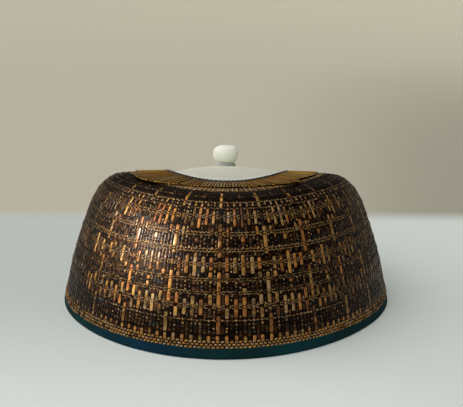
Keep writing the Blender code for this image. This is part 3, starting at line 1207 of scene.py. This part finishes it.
class CAP_OT_knob(bpy.types.Operator):
    """Shapes the white cotton knob and its ribbed neck"""

    bl_idname = "cap.knob"
    bl_label = "Knob"

    inset = 0.15
    fullness = 0.56
    flatness = 0.70
    size = 1.04
    narrowed_below = 0.20
    neck_rise = 5.4
    neck_steps = 36
    neck_radius = 4.1
    neck_flare = 1.5
    neck_turns = 6
    ridge = 0.14
    neck_sides = 48

    def make_knob(self, cotton):
        """The soft round knob, a little narrower below."""
        low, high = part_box("crown_knob")
        half_width = (high.x - low.x) / MM / 2 - self.inset
        half_height = KNOB_HEIGHT / 2 - self.inset
        middle = KNOB_TOP - KNOB_HEIGHT / 2
        mesh = bmesh.new()
        bmesh.ops.create_icosphere(mesh, subdivisions=5, radius=1.0)
        for vert in mesh.verts:
            over = vert.co.normalized()
            soft = 0.06 * noise.noise(over * 1.6) + 0.02 * noise.noise(over * 3.6 + Vector((3.0, 1.0, 2.0)))
            level = math.hypot(over.x, over.y)
            fuller = level**self.fullness / level if level > 0.001 else 0.0
            size = (self.size + soft) * (1.0 + self.narrowed_below * min(over.z, 0.0) ** 3)
            tall = math.copysign(abs(over.z) ** self.flatness, over.z) * min(0.97 + soft, 1.0)
            x, y = over.x * fuller * size * half_width, over.y * fuller * size * half_width
            vert.co = at_knob(x, y, middle + tall * half_height)
        finish_piece("yarn_knob", mesh, cotton, ["crown_knob"])

    def make_neck(self, cotton, yarn):
        """The neck, with the ridges of the yarn that winds round it."""
        foot = dome_height(0.0) + SEAT_GAP
        top = foot + self.neck_rise
        neck = [(0.0, top, 0.0)]
        for step in range(self.neck_steps + 1):
            share = step / self.neck_steps
            ridge = self.ridge * yarn * abs(math.sin(math.pi * self.neck_turns * share))
            radius = self.neck_radius + self.neck_flare * share**2.5 + ridge
            neck.append((radius, top - (self.neck_rise - SEAT_GAP) * share, 1.0 + step))
        neck.append((0.0, foot + SEAT_GAP, 40.0))

        def place(turn, radius, height, along):
            return at_knob(radius * math.cos(turn), radius * math.sin(turn), height)

        mesh = turned(neck, self.neck_sides, place, closed=False)
        finish_piece("yarn_neck", mesh, cotton)

    def execute(self, context):
        trim, colours = context.scene.cap_trim, context.scene.cap_colours
        cotton = cotton_finish("white yarn", colours.white, 1500.0)
        self.make_knob(cotton)
        self.make_neck(cotton, trim.yarn / MM)
        return {"FINISHED"}


class CAP_OT_stage(bpy.types.Operator):
    """Adds the pale floor, the soft lights and the camera"""

    bl_idname = "cap.stage"
    bl_label = "Stage"

    floor_size = 9.0
    floor_flat_within = 4.5
    floor_curve = 4.0
    floor_rise = 1.8
    floor_steps = 120
    world_colour = (0.82, 0.80, 0.74, 1.0)
    world_strength = 0.18
    # Name, azimuth, elevation and spread in degrees, and strength
    suns = [("window", -66.0, 42.0, 100.0, 2.50), ("ceiling", 15.0, 76.0, 8.0, 0.66)]
    sun_colour = (1.0, 0.985, 0.95)
    glint_colour = (1.0, 0.96, 0.92)
    glint_power = 840.0
    glint_spread = 0.034
    glint_radius = 0.028
    glint_place = (-1.157, -0.468, 0.70)
    glint_aim = (-0.041, -0.062, 0.046)
    # The camera's focal length and picture width in pixels, its place in metres and its turns in degrees
    focal_length = 901.0
    picture_width = 463.0
    sensor_width = 36.0
    eye_back = 0.4861
    eye_height = 0.1592
    look_aside = -0.29
    look_down = 12.49
    look_tilt = 0.494

    def floor_finish(self, colours):
        """Pale floor with painted light and shade: near the cap it darkens towards the back and is an even,
        dimmer shade to the right; the far floor darkens to the right and lightens a little far off, and turns
        warmer behind the cap.
        """
        made = Nodes("pale floor")
        place = made.parts(made.place())
        across, depth = place["X"], place["Y"]
        # Painted shade: the near floor darkens from front to back
        painted_falloff = made.fade(depth, -0.26, 0.02)
        near = made.mix(painted_falloff, times(colours.floor, 1.11), times(colours.floor, 0.71))
        # Painted shade: to the right of the cap the near floor is an even, dimmer shade
        near = made.mix(made.fade(across, 0.02, 0.12), near, times(colours.floor, 0.86))
        side = made.math("DIVIDE", across, made.math("ADD", made.math("ABSOLUTE", depth), 0.5))
        # Painted shade: the far floor darkens towards the right
        far = made.mix(made.fade(side, 0.0, 0.26), colours.far, times(colours.far, 0.66))
        # Painted light: the far floor lightens a little far off
        far = made.mix(made.fade(depth, 0.3, 2.5), far, times(colours.far, 1.03))
        colour = made.mix(made.fade(depth, 0.170, 0.215), near, far)
        grain = made.noise(made.place(), 300.0)
        return made.finish(colour, 0.55, made.bump(grain, 0.05, 0.0002))

    def add_floor(self, context):
        """A wide floor that curves up far from the cap."""
        mesh = bmesh.new()
        steps = self.floor_steps
        bmesh.ops.create_grid(mesh, x_segments=steps, y_segments=steps, size=self.floor_size)
        for vert in mesh.verts:
            beyond = (vert.co.xy.length - self.floor_flat_within) / self.floor_curve
            vert.co.z = self.floor_rise * min(max(beyond, 0.0), 1.0) ** 2
        data = bpy.data.meshes.new("floor")
        mesh.to_mesh(data)
        mesh.free()
        data.shade_smooth()
        floor = bpy.data.objects.new("floor", data)
        context.scene.collection.objects.link(floor)
        data.materials.append(self.floor_finish(context.scene.cap_colours))

    def add_lamp(self, name, kind, energy, colour):
        """A light of this kind, linked to the scene."""
        light = bpy.data.lights.new(name, kind)
        light.energy = energy
        light.color = colour
        lamp = bpy.data.objects.new(name, light)
        bpy.context.scene.collection.objects.link(lamp)
        return lamp

    def add_lights(self, context):
        """A dim room, two soft suns and a narrow spot for the glint on the shoulder."""
        world = bpy.data.worlds.new("soft studio")
        world.use_nodes = True
        background = world.node_tree.nodes["Background"]
        background.inputs["Color"].default_value = self.world_colour
        background.inputs["Strength"].default_value = self.world_strength
        context.scene.world = world
        for name, azimuth, elevation, spread, strength in self.suns:
            lamp = self.add_lamp(name, "SUN", strength, self.sun_colour)
            lamp.data.angle = math.radians(spread)
            lamp.rotation_euler = (math.radians(90.0 - elevation), 0.0, math.radians(azimuth))
        lamp = self.add_lamp("glint", "SPOT", self.glint_power, self.glint_colour)
        lamp.data.spot_size = self.glint_spread
        lamp.data.spot_blend = 1.0
        lamp.data.shadow_soft_size = self.glint_radius
        lamp.location = self.glint_place
        lamp.rotation_euler = (Vector(self.glint_aim) - lamp.location).to_track_quat("-Z", "Y").to_euler()

    def add_camera(self, context):
        """The camera at the photograph's viewing angle."""
        camera = bpy.data.cameras.new("photo camera")
        camera.sensor_fit = "HORIZONTAL"
        camera.sensor_width = self.sensor_width
        camera.lens = self.focal_length / self.picture_width * self.sensor_width
        eye = bpy.data.objects.new("photo camera", camera)
        eye.location = (0.0, -self.eye_back + SHIFT * MM, self.eye_height)
        aside = Matrix.Rotation(math.radians(self.look_aside), 4, "Z")
        down = Matrix.Rotation(math.radians(90.0 - self.look_down), 4, "X")
        tilt = Matrix.Rotation(math.radians(self.look_tilt), 4, "Z")
        eye.rotation_euler = (aside @ down @ tilt).to_euler()
        context.scene.collection.objects.link(eye)
        context.scene.camera = eye

    def execute(self, context):
        self.add_floor(context)
        self.add_lights(context)
        self.add_camera(context)
        context.scene.view_settings.view_transform = "Standard"
        return {"FINISHED"}


OPERATORS = [
    CAP_OT_woven_wall,
    CAP_OT_straw_bars,
    CAP_OT_twined_rows,
    CAP_OT_hem,
    CAP_OT_ring,
    CAP_OT_dome,
    CAP_OT_knob,
    CAP_OT_stage,
]


class CAP_PT_panel(bpy.types.Panel):
    """Lists the cap's pieces and their settings"""

    bl_idname = "CAP_PT_panel"
    bl_label = "Hausa cap"
    bl_space_type = "VIEW_3D"
    bl_region_type = "UI"
    bl_category = "Cap"

    def draw(self, context):
        for group in (context.scene.cap_weave, context.scene.cap_trim, context.scene.cap_colours):
            box = self.layout.box()
            for key in group.__annotations__:
                box.prop(group, key)
        for operator in OPERATORS:
            self.layout.operator(operator.bl_idname)


GROUPS = {"cap_weave": CapWeave, "cap_trim": CapTrim, "cap_colours": CapColours}


def register():
    for kind in [*GROUPS.values(), *OPERATORS, CAP_PT_panel]:
        bpy.utils.register_class(kind)
    for name, group in GROUPS.items():
        setattr(bpy.types.Scene, name, PointerProperty(type=group))


def unregister():
    for name in GROUPS:
        delattr(bpy.types.Scene, name)
    for kind in [CAP_PT_panel, *reversed(OPERATORS), *GROUPS.values()]:
        bpy.utils.unregister_class(kind)


def main():
    register()
    for operator in OPERATORS:
        group, name = operator.bl_idname.split(".")
        getattr(getattr(bpy.ops, group), name)()


if __name__ == "__main__":
    main()
